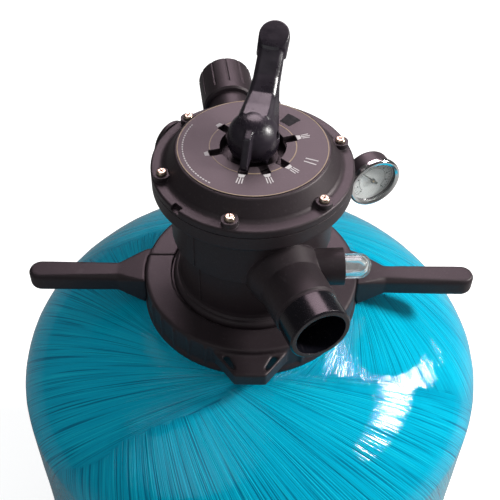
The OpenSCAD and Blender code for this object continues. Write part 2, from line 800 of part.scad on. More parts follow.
module front_adapter() {
    end = 159;
    shoulder = end - stub_end - gap;
    color([0.14, 0.13, 0.14]) clocked() along_port(front_dir) difference() {
        union() {
            adapter_spigot(stub_bore_len + 2);
            translate([0, 0, stub_end + gap]) rotate_extrude() polygon([
                [0, 0], [socket_r + 5.3, 0], [socket_r + 5.3, shoulder - 1.5],
                [socket_r + 3.8, shoulder], [0, shoulder]]);
        }
        translate([0, 0, stub_end - 30]) cylinder(r = port_r, h = 80);
        translate([0, 0, end - socket_depth]) cylinder(r = socket_r, h = socket_depth + past);
    }
}

module front_oring() color("black") clocked() port_oring(front_dir);

// Coupling behind the valve: a nipple out of the port, then a fluted coupling on it
coupling_start = 188;
coupling_end = 248;
nipple_r = 25;
nipple_end = coupling_end - socket_depth - 5;

module rear_nipple() {
    color([0.15, 0.14, 0.15]) clocked() along_port(rear_dir) difference() {
        union() {
            adapter_spigot(stub_bore_len + 8);
            translate([0, 0, stub_end + gap]) rotate_extrude() polygon([
                [0, 0], [stub_r - 1.5, 0], [stub_r - 1.5, 6], [nipple_r, 9],
                [nipple_r, nipple_end - stub_end - gap], [0, nipple_end - stub_end - gap]]);
        }
        translate([0, 0, stub_end - 30]) cylinder(r = port_r, h = 120);
    }
}

module rear_coupling() {
    coupling_r = socket_r + 7;
    len = coupling_end - coupling_start;
    flute_count = 12;
    color([0.15, 0.14, 0.15]) clocked() along_port(rear_dir) translate([0, 0, coupling_start]) difference() {
        rotate_extrude() polygon([
            [0, 0], [coupling_r - 2, 0], [coupling_r, 2],
            [coupling_r, len - 2], [coupling_r - 2, len], [0, len]]);
        translate([0, 0, -past]) cylinder(r = nipple_r + run, h = nipple_end - coupling_start + past + gap);
        cylinder(r = port_r, h = len + past);
        translate([0, 0, len - socket_depth]) cylinder(r = socket_r, h = socket_depth + past);
        on_circle(coupling_r + 0.6, flute_count) translate([0, 0, 12]) cylinder(r = 1.6, h = len, $fn = 24);
    }
}

module rear_oring() color("black") clocked() port_oring(rear_dir);

module port_plug() {
    color([0.12, 0.11, 0.12]) clocked() plug_frame() difference() {
        union() {
            translate([0, 0, -15]) cylinder(r = plug_neck_r, h = 17);
            translate([0, 0, 1.2]) cylinder(r = plug_boss_r + 0.5, h = 4.5);
            translate([0, 0, 1.2]) cylinder(r = 17, h = 7);
        }
        translate([0, 0, 3]) cylinder(r = 6, h = 10, $fn = 6);
    }
}

module plug_oring() {
    color("black") clocked() plug_frame() translate([0, 0, 0.6]) torus(13, 0.55);
}

// ---- Gauge ----

// Depths of the case and the dial, from the plane of the gauge's stem
case_back = -13;
case_front = 9;
dial_z = 3;

module gauge_stem() {
    end = gauge_reach - gauge_r + 7;
    dial_edge = gauge_reach - gauge_r + 4;
    color("goldenrod") clocked() along_gauge() difference() {
        union() {
            translate([0, 0, 80]) cylinder(r = gauge_stem_r, h = 20);
            translate([0, 0, 80]) cylinder(r = gauge_neck_r, h = dial_edge - 80);
            translate([0, 0, 80]) cylinder(r = dial_z - 0.2, h = end - 80);
            translate([0, 0, 94]) cylinder(r = 9, h = 7, $fn = 6);
        }
        translate([0, 0, 79]) cylinder(r = 2, h = end - 74);
    }
}

module gauge_case() {
    wall = 1.6;
    deep = case_front - case_back;
    color([0.08, 0.08, 0.09]) clocked() gauge_face() difference() {
        translate([0, 0, case_back]) rotate_extrude() polygon(concat(
            [[0, 0]], arc([gauge_r - 7, 4], 4, -90, 0, 6),
            [[gauge_r - 3, deep - 5], [gauge_r - 1.5, deep - 4], [gauge_r - 1.5, deep], [0, deep]]));
        translate([0, 0, case_back + wall]) cylinder(r = gauge_r - 5, h = 40);
        translate([0, 0, dial_z - 0.2]) cylinder(r = gauge_r - 4, h = 40);
        translate([-gauge_r - 4, 0, 0]) rotate([0, 90, 0]) cylinder(r = gauge_neck_r + run, h = 14);
    }
}

module gauge_bezel() {
    color("silver") clocked() gauge_face() translate([0, 0, case_front - 3]) rotate_extrude() polygon(concat(
        [[gauge_r - 1.4, 0], [gauge_r - 0.3, 0]], arc([gauge_r - 2.4, 3.2], 2.4, 0, 90, 6),
        [[gauge_r - 5, 4.6], [gauge_r - 4.6, 3.1], [gauge_r - 1.4, 3.1]]));
}

module gauge_dial() {
    color("ivory") clocked() gauge_face() translate([0, 0, dial_z]) tube(gauge_r - 4.2, 1.2, 0.8);
}

// The curved tube that opens under pressure and turns the spindle
module bourdon_tube() {
    color("goldenrod") clocked() gauge_face() translate([0, 0, -5]) {
        rotate([0, 0, 185]) rotate_extrude(angle = 290) translate([15, 0]) square([2, 5], center = true);
        translate([7 + gap - gauge_r, -3, -3]) cube([gauge_r - 21, 6, 6]);
    }
}

module gauge_spindle() {
    color("goldenrod") clocked() gauge_face() {
        translate([0, 0, -7]) cylinder(r = 1, h = dial_z + 11);
        translate([0, 0, -5]) cylinder(r = 4, h = 1.5);
    }
}

module gauge_needle() {
    color([0.1, 0.1, 0.1]) clocked() gauge_face() translate([0, 0, dial_z + 1.8]) rotate([0, 0, 135])
        difference() {
            union() {
                linear_extrude(height = 0.6)
                    polygon([[-8, -1.4], [-8, 1.4], [0, 1], [18, 0.25], [18, -0.25], [0, -1]]);
                cylinder(r = 2.6, h = 1.4);
            }
            translate([0, 0, -past]) cylinder(r = 1.02, h = 4);
        }
}

module gauge_lens() {
    color([0.9, 0.95, 1, 0.35]) clocked() gauge_face() translate([0, 0, case_front - 1.6])
        cylinder(r = gauge_r - 4.1, h = 1.4);
}

tank_shell();
neck_insert();
foot();
drain_fitting();
drain_nut();
drain_oring();
drain_cap();
standpipe();
lateral_hub();
laterals();
diffuser();
standpipe_oring();
neck_oring();
lock_ring_front();
lock_ring_rear();
lock_ring_bolts();
valve_body();
spider_gasket();
rotor();
spring();
spring_washer();
stem_oring();
lid();
lid_oring();
lid_screws();
label_plate();
lever_washer();
lever_pin();
lever();
sight_glass();
sight_oring();
front_adapter();
front_oring();
rear_nipple();
rear_coupling();
rear_oring();
port_plug();
plug_oring();
gauge_stem();
gauge_case();
gauge_bezel();
gauge_dial();
bourdon_tube();
gauge_spindle();
gauge_needle();
gauge_lens();
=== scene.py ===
"""Looks of a bobbin-wound sand filter tank with a top-mounted multiport valve.

Everything is in metres, in the CAD frame: +Z up, origin under the centre of the foot.
"""
import json
import math

import bpy
import numpy as np
from mathutils import Matrix, Vector


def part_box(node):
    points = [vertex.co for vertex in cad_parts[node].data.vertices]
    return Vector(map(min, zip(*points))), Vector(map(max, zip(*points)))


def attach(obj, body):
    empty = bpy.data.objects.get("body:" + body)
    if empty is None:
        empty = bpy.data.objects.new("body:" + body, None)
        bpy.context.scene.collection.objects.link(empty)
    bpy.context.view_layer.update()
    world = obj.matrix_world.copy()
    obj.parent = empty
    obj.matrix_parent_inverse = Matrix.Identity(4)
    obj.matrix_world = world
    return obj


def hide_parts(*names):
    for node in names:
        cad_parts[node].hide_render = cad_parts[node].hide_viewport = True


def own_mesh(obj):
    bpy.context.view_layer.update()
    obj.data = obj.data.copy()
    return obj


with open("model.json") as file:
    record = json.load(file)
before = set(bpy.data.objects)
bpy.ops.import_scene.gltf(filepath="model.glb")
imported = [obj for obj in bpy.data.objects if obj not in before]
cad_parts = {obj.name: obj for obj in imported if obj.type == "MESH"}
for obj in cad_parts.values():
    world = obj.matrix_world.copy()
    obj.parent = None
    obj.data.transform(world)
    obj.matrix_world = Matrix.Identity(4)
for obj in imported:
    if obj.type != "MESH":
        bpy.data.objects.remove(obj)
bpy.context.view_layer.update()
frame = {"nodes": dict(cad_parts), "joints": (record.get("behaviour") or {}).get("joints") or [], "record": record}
NODES = frame["nodes"]
JOINTS = {joint["name"]: joint for joint in frame["joints"]}
SEED = 11
MM = 0.001
PALE_DUST = (0.17, 0.145, 0.16)
TARNISH = (0.3, 0.27, 0.22)


# ---- Shader building ----

class Shader:
    """One material, built by adding nodes whose inputs are values or other sockets."""

    def __init__(self, name):
        self.mat = bpy.data.materials.new(name)
        self.mat.use_nodes = True
        self.tree = self.mat.node_tree
        self.tree.nodes.clear()
        self.out = self.tree.nodes.new("ShaderNodeOutputMaterial")
        self.bsdf = self.tree.nodes.new("ShaderNodeBsdfPrincipled")
        self.tree.links.new(self.bsdf.outputs["BSDF"], self.out.inputs["Surface"])

    def plug(self, socket, value):
        """Links a socket to an input, or sets the input's own value."""
        if isinstance(value, bpy.types.NodeSocket):
            self.tree.links.new(value, socket)
        elif isinstance(value, (tuple, list)) and len(value) == 3 and socket.type == "RGBA":
            socket.default_value = (*value, 1.0)
        else:
            socket.default_value = value

    def add(self, kind, inputs=None, **props):
        """A new node, with its inputs plugged and its properties set."""
        node = self.tree.nodes.new(kind)
        for key, value in props.items():
            setattr(node, key, value)
        for key, value in (inputs or {}).items():
            self.plug(node.inputs[key], value)
        return node

    def set(self, **values):
        """Sets inputs of the Principled shader; an underscore stands for a space."""
        for key, value in values.items():
            self.plug(self.bsdf.inputs[key.replace("_", " ")], value)

    def place(self, scale=(1, 1, 1)):
        """Object coordinates, stretched."""
        coords = self.add("ShaderNodeTexCoord").outputs["Object"]
        return self.add("ShaderNodeMapping", {"Vector": coords, "Scale": scale}).outputs[0]

    def noise(self, scale, detail=4.0, rough=0.55, vector=None):
        """Noise from 0 to 1, with scale in features per metre."""
        vector = vector or self.place()
        return self.add("ShaderNodeTexNoise", {
            "Vector": vector, "Scale": scale, "Detail": detail, "Roughness": rough,
        }).outputs["Fac"]

    def spread(self, value, low, high, to_low=0.0, to_high=1.0):
        """Maps low to to_low and high to to_high, held beyond both."""
        return self.add("ShaderNodeMapRange", {
            "Value": value, "From Min": low, "From Max": high, "To Min": to_low, "To Max": to_high,
        }).outputs["Result"]

    def sum(self, *parts):
        total = parts[0]
        for part in parts[1:]:
            total = self.math("ADD", total, part)
        return total

    def math(self, operation, a, b=0.5):
        return self.add("ShaderNodeMath", {0: a, 1: b}, operation=operation).outputs[0]

    def mix(self, factor, a, b):
        node = self.add("ShaderNodeMix", data_type="RGBA")
        for socket, value in zip((node.inputs[0], node.inputs[6], node.inputs[7]), (factor, a, b)):
            self.plug(socket, value)
        return node.outputs[2]

    def bump(self, height, depth, strength=1.0, normal=None):
        inputs = {"Height": height, "Distance": depth, "Strength": strength}
        if normal is not None:
            inputs["Normal"] = normal
        return self.add("ShaderNodeBump", inputs).outputs["Normal"]

    def edge(self, radius):
        """0 on flat faces, rising to 1 on sharp edges."""
        soft = self.add("ShaderNodeBevel", {"Radius": radius}, samples=4).outputs[0]
        hard = self.add("ShaderNodeNewGeometry").outputs["Normal"]
        turned = self.add("ShaderNodeVectorMath", {0: soft, 1: hard}, operation="DOT_PRODUCT")
        return self.spread(turned.outputs["Value"], 0.98, 0.8)


def moulded(name, colour, rough, grain=1.0, round_edge=0.9 * MM):
    """Moulded plastic: fine spark-eroded grain, dusty clouds, scuffs and worn, rounded edges."""
    s = Shader(name)
    clouds = s.noise(9, detail=5)
    grit = s.noise(900, detail=2)
    dust = s.spread(clouds, 0.46, 0.8)
    scuffs = s.spread(s.noise(60, detail=3, vector=s.place((1, 1, 9))), 0.64, 0.76)
    specks = s.spread(s.noise(420, detail=3), 0.6, 0.75)
    worn = s.math("MULTIPLY", s.edge(0.8 * MM), s.spread(s.noise(160), 0.35, 0.6))
    tinted = colour
    for marks, amount in ((dust, 0.06), (scuffs, 0.09), (specks, 0.12), (worn, 0.5)):
        tinted = s.mix(s.math("MULTIPLY", marks, amount), tinted, PALE_DUST)
    shine = s.spread(grit, 0.3, 0.7, rough - 0.05, rough + 0.07)
    shine = s.sum(shine, s.math("MULTIPLY", dust, 0.12))
    normal = s.add("ShaderNodeBevel", {"Radius": round_edge}, samples=4).outputs[0]
    normal = s.bump(grit, 0.09 * MM * grain, 0.6, normal)
    normal = s.bump(s.noise(260, detail=3), 0.1 * MM * grain, 0.6, normal)
    normal = s.bump(clouds, 0.6 * MM, 0.3, normal)
    s.set(Base_Color=tinted, Roughness=shine, Normal=normal, Specular_Tint=(1.0, 0.9, 0.93))
    return s.mat


def glossy_black(name):
    """Polished nylon with wipe marks and hairline scratches."""
    s = Shader(name)
    smears = s.noise(28, vector=s.place((1, 1, 3)))
    hairs = s.spread(s.noise(220, detail=2, vector=s.place((14, 1, 1))), 0.6, 0.7)
    shine = s.sum(s.spread(smears, 0.35, 0.7, 0.22, 0.42), s.math("MULTIPLY", hairs, 0.2))
    colour = s.mix(s.spread(smears, 0.4, 0.75, 0, 0.3), (0.016, 0.012, 0.019), (0.09, 0.07, 0.095))
    s.set(Base_Color=colour, Roughness=shine, Normal=s.bump(s.sum(smears, hairs), 0.08 * MM, 0.4))
    return s.mat


def rubber(name):
    """Black rubber with a dusty bloom."""
    s = Shader(name)
    bloom = s.noise(120, detail=5)
    colour = s.mix(s.spread(bloom, 0.4, 0.8, 0, 0.4), (0.01, 0.01, 0.01), (0.06, 0.06, 0.06))
    s.set(Base_Color=colour, Roughness=s.spread(bloom, 0.3, 0.7, 0.55, 0.8),
          Normal=s.bump(s.noise(700), 0.05 * MM))
    return s.mat


def metal(name, colour, rough, stretch=(1, 1, 30)):
    """Machined or brushed metal with stretched grain and dull patches."""
    s = Shader(name)
    grain = s.noise(260, detail=3, vector=s.place(stretch))
    patches = s.spread(s.noise(70), 0.5, 0.8)
    s.set(Base_Color=s.mix(s.math("MULTIPLY", patches, 0.4), colour, TARNISH), Metallic=1.0,
          Roughness=s.sum(s.spread(grain, 0.3, 0.7, rough * 0.7, rough * 1.3),
                          s.math("MULTIPLY", patches, 0.15)),
          Normal=s.bump(grain, 0.02 * MM, 0.5))
    return s.mat


def clear_plastic(name):
    """Slightly hazy moulded glass-clear plastic."""
    s = Shader(name)
    haze = s.noise(90)
    s.set(Base_Color=(0.93, 0.97, 0.97), Roughness=s.spread(haze, 0.35, 0.7, 0.04, 0.12),
          Transmission_Weight=0.94, IOR=1.45, Normal=s.bump(haze, 0.03 * MM, 0.3))
    # Light passes straight through it on the way to what lies behind
    lit = s.add("ShaderNodeLightPath").outputs["Is Shadow Ray"]
    through = s.add("ShaderNodeBsdfTransparent", {"Color": (0.9, 0.93, 0.93)}).outputs[0]
    both = s.add("ShaderNodeMixShader", {0: lit, 1: s.bsdf.outputs[0], 2: through}).outputs[0]
    s.plug(s.out.inputs["Surface"], both)
    return s.mat


def enamel(name, colour, rough):
    """Painted or printed sheet with faint mottling."""
    s = Shader(name)
    mottle = s.noise(240)
    darker = tuple(0.8 * c for c in colour)
    s.set(Base_Color=s.mix(s.spread(mottle, 0.4, 0.75, 0, 0.5), colour, darker),
          Roughness=s.spread(mottle, 0.3, 0.7, rough - 0.08, rough + 0.1),
          Normal=s.bump(mottle, 0.02 * MM, 0.4))
    return s.mat


# ---- Mesh building ----

def mesh_object(name, verts, faces, material, smooth=True):
    """A new object with one material, linked to the scene."""
    mesh = bpy.data.meshes.new(name)
    mesh.from_pydata([tuple(v) for v in verts], [], [tuple(f) for f in faces])
    mesh.update()
    mesh.polygons.foreach_set("use_smooth", [smooth] * len(mesh.polygons))
    mesh.materials.append(material)
    obj = bpy.data.objects.new(name, mesh)
    bpy.context.scene.collection.objects.link(obj)
    return obj


def finish_piece(obj, body, slot_name, *stands_for):
    """Puts a piece on its body, in place of the nodes named last; slot_name is not used."""
    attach(obj, body)
    if stands_for:
        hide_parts(*stands_for)


def ring_faces(rings, around, start=0):
    """Quads joining rings of points, each ring closed on itself."""
    faces = []
    for i in range(rings - 1):
        a, b = start + i * around, start + (i + 1) * around
        faces += [(a + j, b + j, b + (j + 1) % around, a + (j + 1) % around) for j in range(around)]
    return faces


# ---- The wound tank ----

DOME_POWER = 1.72
DOME_RISE, BOWL_DROP = 131 * MM, 120 * MM
WALL = 5 * MM
COLLAR_LAP = 3.9 * MM  # the neck collar's flange lies this far over the shell's edge
SHELL_AROUND = 480
OUTSIDE_RINGS, LINING_RINGS = (86, 16), (14, 4)  # along each dome, and along the wall

WINDING_OPENING = 114 * MM  # the circle that every fibre touches
MAX_LEAN = 0.995
FIRST_BAND = math.radians(283.5)
ROVING = 0.4 * MM
ROVING_CELLS = ((44, 1.0), (113, 0.8), (211, 0.5))  # cells around the tank, and their share
MEAN_HEIGHT = 1.6
SMOOTH_RADIUS, WOUND_RADIUS = 88 * MM, 102 * MM  # the windings fade out under the collar
FAMILY_SHIFT = 3  # sets the two families' noise apart
FIBRE_NOISE = ((150, 3), (46, 2), (7, 5))  # fine, broad and loose: features across and along

RESIN_DEEP, RESIN_CLEAR = (0.0, 0.4, 0.62), (0.0, 0.46, 0.68)
# Painted shade for the grooves between rovings and along zone edges, and a painted highlight for the rovings'
# ridges
GROOVE_SHADE_COLOUR, RIDGE_HIGHLIGHT_COLOUR = (0.0, 0.15, 0.28), (0.01, 0.68, 0.85)


def dome_angle(radius, to):
    """Angle at which a dome of this radius has narrowed to the radius to."""
    return math.acos((to / radius) ** (DOME_POWER / 2))


def dome_points(radius, rise, end, count):
    """(radius, height over the shoulder) from the shoulder to the angle end."""
    angles = np.linspace(0, end, count)
    power = 2 / DOME_POWER
    return np.stack([radius * np.cos(angles) ** power, rise * np.sin(angles) ** power], 1)


def shell_profile(inset, rings):
    """(radius, height) from the neck's edge down to the centre of the bowl."""
    dome_count, wall_count = rings
    low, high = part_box("tank_shell")
    radius = (high.x - low.x) / 2 - inset
    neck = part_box("neck_insert")[1].x - COLLAR_LAP
    shoulder = high.z - DOME_RISE * math.sin(dome_angle(radius + inset, neck)) ** (2 / DOME_POWER)
    hip = low.z + BOWL_DROP
    dome = dome_points(radius, DOME_RISE - inset, dome_angle(radius, neck), dome_count)[::-1]
    bowl = dome_points(radius, BOWL_DROP - inset, math.pi / 2, dome_count)
    wall_heights = np.linspace(shoulder, hip, wall_count + 2)[1:-1]
    wall = np.stack([np.full(wall_count, radius), wall_heights], 1)
    dome[:, 1] += shoulder
    bowl[:, 1] = hip - bowl[:, 1]
    return np.concatenate([dome, wall, bowl[:-1]])


def winding_turn(profile, opening):
    """How far a fibre has turned about Z along the profile: it touches the opening's circle
    and follows the shortest path, so radius x sin(angle from the meridian) stays put."""
    radius = profile[:, 0]
    lean = np.arcsin(np.clip(opening / np.maximum(radius, opening), 0, MAX_LEAN))
    step = np.hypot(*np.diff(profile, axis=0).T)
    outside = (radius[1:] + radius[:-1]) / 2 > opening
    turn = np.where(outside, np.tan(lean)[1:] * step / np.maximum(radius[1:], opening), 0)
    return np.concatenate([[0], np.cumsum(turn)])


def periodic_noise(rng, count, where):
    """Smooth noise along a circle with count cells; where is in turns."""
    table = rng.random(count)
    x = (where % 1.0) * count
    cell = np.floor(x).astype(int)
    t = x - cell
    t = t * t * (3 - 2 * t)
    return table[cell % count] * (1 - t) + table[(cell + 1) % count] * t


def wound_height(rng, phi, turn):
    """Height of the rovings of whichever family lies on top, in units of a roving's thickness."""
    layers = []
    for sign in (1, -1):
        where = (phi + sign * turn) / (2 * math.pi)
        layers.append(sum(share * periodic_noise(rng, cells, where)
                          for cells, share in ROVING_CELLS))
    over = -np.sin(phi + turn - FIRST_BAND) * np.sin(phi - turn - FIRST_BAND)
    blend = np.clip(0.5 + over / 0.12, 0, 1)
    return layers[0] * (1 - blend) + layers[1] * blend


def wound_material():
    """Clear resin over turquoise rovings. The two families of fibres cross; each half turn the
    other one lies on top, and its fibres show as long grooves in painted shade and ridges in a
    painted highlight; painted shade also runs along the lines where the top family changes."""
    s = Shader("wound_shell")
    side = (-math.sin(FIRST_BAND), math.cos(FIRST_BAND), 0)
    families, sides = [], []
    for attribute in ("wind_a", "wind_b"):
        vector = s.add("ShaderNodeAttribute", attribute_name=attribute).outputs["Vector"]
        fine, broad, loose = [s.noise(1, 1.5, 0.5, s.add(
            "ShaderNodeVectorMath", {0: vector, 1: (k, k, along)}, operation="MULTIPLY").outputs[0])
            for k, along in FIBRE_NOISE]
        families.append((fine, broad, loose))
        sides.append(s.add("ShaderNodeVectorMath", {0: vector, 1: side},
                           operation="DOT_PRODUCT").outputs["Value"])
    (fine_a, broad_a, loose_a), (fine_b, broad_b, loose_b) = families
    over = s.math("MULTIPLY", s.math("MULTIPLY", *sides), -1.0)
    over = s.sum(over, s.math("MULTIPLY", s.math("SUBTRACT", loose_b, loose_a), 0.2))
    top = s.spread(over, -0.012, 0.012)
    fine, broad = [s.add("ShaderNodeMix", {0: top, 2: a, 3: b}).outputs[0]
                   for a, b in ((fine_a, fine_b), (broad_a, broad_b))]
    # Painted shade: a darker colour in the grooves between rovings
    gap_shade = s.spread(s.sum(fine, s.math("MULTIPLY", broad, 0.5)), 0.7, 0.56)
    # Painted highlight: a lighter colour along the rovings' ridges
    ridge_highlight = s.spread(fine, 0.55, 0.68)
    depth = s.noise(4, detail=3)
    # Painted shade: a darker band along the lines where the top family of fibres changes
    edge = s.spread(s.math("ABSOLUTE", over), 0.12, 0.0)
    colour = s.mix(s.spread(depth, 0.35, 0.7), RESIN_DEEP, RESIN_CLEAR)
    for marks, amount, tone in ((gap_shade, 0.8, GROOVE_SHADE_COLOUR), (ridge_highlight, 0.45, RIDGE_HIGHLIGHT_COLOUR),
                                (edge, 0.3, GROOVE_SHADE_COLOUR)):
        colour = s.mix(s.math("MULTIPLY", marks, amount), colour, tone)
    normal = s.bump(broad, 1.6 * MM, 0.7)
    normal = s.bump(fine, 0.8 * MM, 0.9, normal)
    s.set(Base_Color=colour, Roughness=s.spread(fine, 0.35, 0.7, 0.3, 0.45), Normal=normal,
          Coat_Weight=0.85, Coat_Roughness=0.03, Specular_IOR_Level=0.0)
    s.plug(s.bsdf.inputs["Coat Normal"], s.bump(fine, 0.36 * MM, 1.0))
    return s.mat


def wound_tank():
    """The tank's shell as one closed mesh, with each family's fibre coordinates on it."""
    rng = np.random.default_rng(SEED)
    outer = shell_profile(0.0, OUTSIDE_RINGS)
    inner = shell_profile(WALL, LINING_RINGS)[::-1]
    phi = np.arange(SHELL_AROUND) * 2 * math.pi / SHELL_AROUND
    grid_phi, grid_turn = np.meshgrid(phi, winding_turn(outer, WINDING_OPENING))
    proud = (wound_height(rng, grid_phi, grid_turn) - MEAN_HEIGHT) * ROVING
    proud *= np.clip((outer[:, :1] - SMOOTH_RADIUS) / (WOUND_RADIUS - SMOOTH_RADIUS), 0, 1)
    tangent = np.gradient(outer, axis=0)
    normal = np.stack([-tangent[:, 1], tangent[:, 0]], 1)
    normal /= np.linalg.norm(normal, axis=1)[:, None]
    radius = outer[:, :1] + normal[:, :1] * proud
    height = outer[:, 1:] + normal[:, 1:] * proud
    shell = np.stack([radius * np.cos(grid_phi), radius * np.sin(grid_phi), height], 2)
    lining_phi, _ = np.meshgrid(phi, inner[:, 0])
    lining = np.stack([inner[:, :1] * np.cos(lining_phi), inner[:, :1] * np.sin(lining_phi),
                       np.broadcast_to(inner[:, 1:], lining_phi.shape)], 2)
    shell, lining = shell.reshape(-1, 3), lining.reshape(-1, 3)
    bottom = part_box("tank_shell")[0].z
    verts = np.concatenate([shell, lining, [[0, 0, bottom], [0, 0, bottom + WALL]]])
    count = len(shell)
    faces = ring_faces(len(outer), SHELL_AROUND) + ring_faces(len(inner), SHELL_AROUND, count)
    last_outer, last_inner = count - SHELL_AROUND, count + len(lining) - SHELL_AROUND
    for j in range(SHELL_AROUND):
        k = (j + 1) % SHELL_AROUND
        faces.append((last_outer + j, len(verts) - 2, last_outer + k))
        faces.append((count + k, len(verts) - 1, count + j))
        faces.append((last_inner + j, j, k, last_inner + k))
    tank = mesh_object("wound_tank", verts, faces, wound_material())
    steps = np.hypot(*np.diff(outer, axis=0).T)
    along = np.concatenate([[0], np.cumsum(steps)]) / outer[:, 0].max()
    for name, sign in (("wind_a", 1), ("wind_b", -1)):
        angle = grid_phi + sign * grid_turn
        reach = np.broadcast_to(along[:, None] + FAMILY_SHIFT * sign, angle.shape)
        values = np.zeros((len(verts), 3), np.float32)
        values[:count] = np.stack([np.cos(angle), np.sin(angle), reach], 2).reshape(-1, 3)
        attribute = tank.data.attributes.new(name, "FLOAT_VECTOR", "POINT")
        attribute.data.foreach_set("vector", values.ravel())
    finish_piece(tank, "tank", "wound_shell", "tank_shell")


wound_tank()


# ---- Materials of the CAD nodes, by the record's slots ----

MATERIALS = {
    "wound_shell": enamel("wound_shell_plain", (0.0, 0.4, 0.55), 0.2),
    "black_plastic": moulded("black_plastic", (0.022, 0.0155, 0.019), 0.46),
    "lever_plastic": glossy_black("lever_plastic"),
    "port_plastic": moulded("port_plastic", (0.005, 0.005, 0.008), 0.2, grain=0.25),
    "white_plastic": enamel("white_plastic", (0.75, 0.75, 0.7), 0.4),
    "seal_rubber": rubber("seal_rubber"),
    "steel": metal("steel", (0.6, 0.6, 0.6), 0.25),
    "screw_metal": metal("screw_metal", (0.68, 0.54, 0.42), 0.26),
    "label_film": moulded("label_film", (0.05, 0.037, 0.042), 0.44, grain=0.5, round_edge=0.1 * MM),
    "clear_plastic": clear_plastic("clear_plastic"),
    "gauge_chrome": metal("gauge_chrome", (0.8, 0.8, 0.8), 0.12, stretch=(1, 1, 1)),
    "gauge_black": moulded("gauge_black", (0.04, 0.03, 0.036), 0.42, grain=0.4),
    "gauge_white": enamel("gauge_white", (0.9, 0.86, 0.86), 0.45),
    "gauge_brass": metal("gauge_brass", (0.7, 0.48, 0.2), 0.28),
    "needle_paint": enamel("needle_paint", (0.01, 0.01, 0.01), 0.4),
}
for part in frame["record"]["subparts"]:
    mesh = NODES[part["node"]].data
    mesh.materials.clear()
    mesh.materials.append(MATERIALS[part["material_slot"]])


# ---- Return spring ----

SPRING_WIRE = 1.2 * MM
SPRING_TURNS, SPRING_STEPS, WIRE_SIDES = 2.5, 120, 14


def return_spring():
    """A round wire coil filling the spring node's box, on the selector body."""
    low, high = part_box("spring")
    radius = (high.x - low.x) / 2 - SPRING_WIRE
    length = high.z - low.z
    share = np.linspace(0, 1, SPRING_STEPS + 1)[:, None]
    angle = 2 * math.pi * SPRING_TURNS * share
    side = np.arange(WIRE_SIDES)[None, :] * 2 * math.pi / WIRE_SIDES
    reach = radius + SPRING_WIRE * np.cos(side)
    rise = low.z + SPRING_WIRE + (length - 2 * SPRING_WIRE) * share + SPRING_WIRE * np.sin(side)
    verts = np.stack([reach * np.cos(angle), reach * np.sin(angle), rise], 2).reshape(-1, 3)
    faces = ring_faces(SPRING_STEPS + 1, WIRE_SIDES)
    faces.append(range(WIRE_SIDES - 1, -1, -1))
    faces.append(range(len(verts) - WIRE_SIDES, len(verts)))
    spring = mesh_object("return_spring", verts, faces, MATERIALS["steel"])
    finish_piece(spring, "selector", "steel", "spring")
    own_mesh(spring)


return_spring()


# ---- Printed marks: thin raised film ----

def film(name, shapes, z, thick, material, place=None):
    """Flat outlines drawn in XY at height z, each given a thickness, joined into one mesh."""
    verts, faces = [], []
    for shape in shapes:
        start, count = len(verts), len(shape)
        verts += [(x, y, z) for x, y in shape] + [(x, y, z + thick) for x, y in shape]
        faces.append(range(start + count - 1, start - 1, -1))
        faces.append(range(start + count, start + 2 * count))
        faces += [(start + i, start + (i + 1) % count, start + count + (i + 1) % count,
                   start + count + i) for i in range(count)]
    obj = mesh_object(name, verts, faces, material, smooth=False)
    if place is not None:
        obj.data.transform(place)
    return obj


def polar(radius, degrees):
    """The point at a radius and an angle in XY."""
    angle = math.radians(degrees)
    return (radius * math.cos(angle), radius * math.sin(angle))


def band(inner, outer, start, stop, steps):
    """Quads along an arc between two radii."""
    angles = np.linspace(start, stop, steps + 1)
    return [[polar(inner, a), polar(outer, a), polar(outer, b), polar(inner, b)]
            for a, b in zip(angles[:-1], angles[1:])]


def bar(radius, degrees, length, width):
    """A radial bar centred on a radius."""
    turn = math.radians(degrees)
    corners = ((-length, -width), (length, -width), (length, width), (-length, width))
    return [((radius + x / 2) * math.cos(turn) - y / 2 * math.sin(turn),
             (radius + x / 2) * math.sin(turn) + y / 2 * math.cos(turn)) for x, y in corners]


LID_CLOCK = 17  # degrees about Z, as in the part
NOTCHES = [LID_CLOCK + a for a in (0, 60, 120, 180, 240, 270, 300)]
WORDED_NOTCHES = [LID_CLOCK + a for a in (0, 240, 270, 300)]
SIDE_BARS = [LID_CLOCK + a for a in (318, 323)]
DASHES = range(152, 236, 3)
NOTCH_OUTER, NOTCH_HALF = 42 * MM, 4.5 * MM
LABEL_FILM, DIAL_FILM = 0.12 * MM, 0.08 * MM
SCALE_FROM, SCALE_SWEEP = -45, 270  # the gauge's scale, in degrees
TICK_STEP, TICKS_PER_MARK = 10, 3
DIAL_HALF = 0.42 * MM


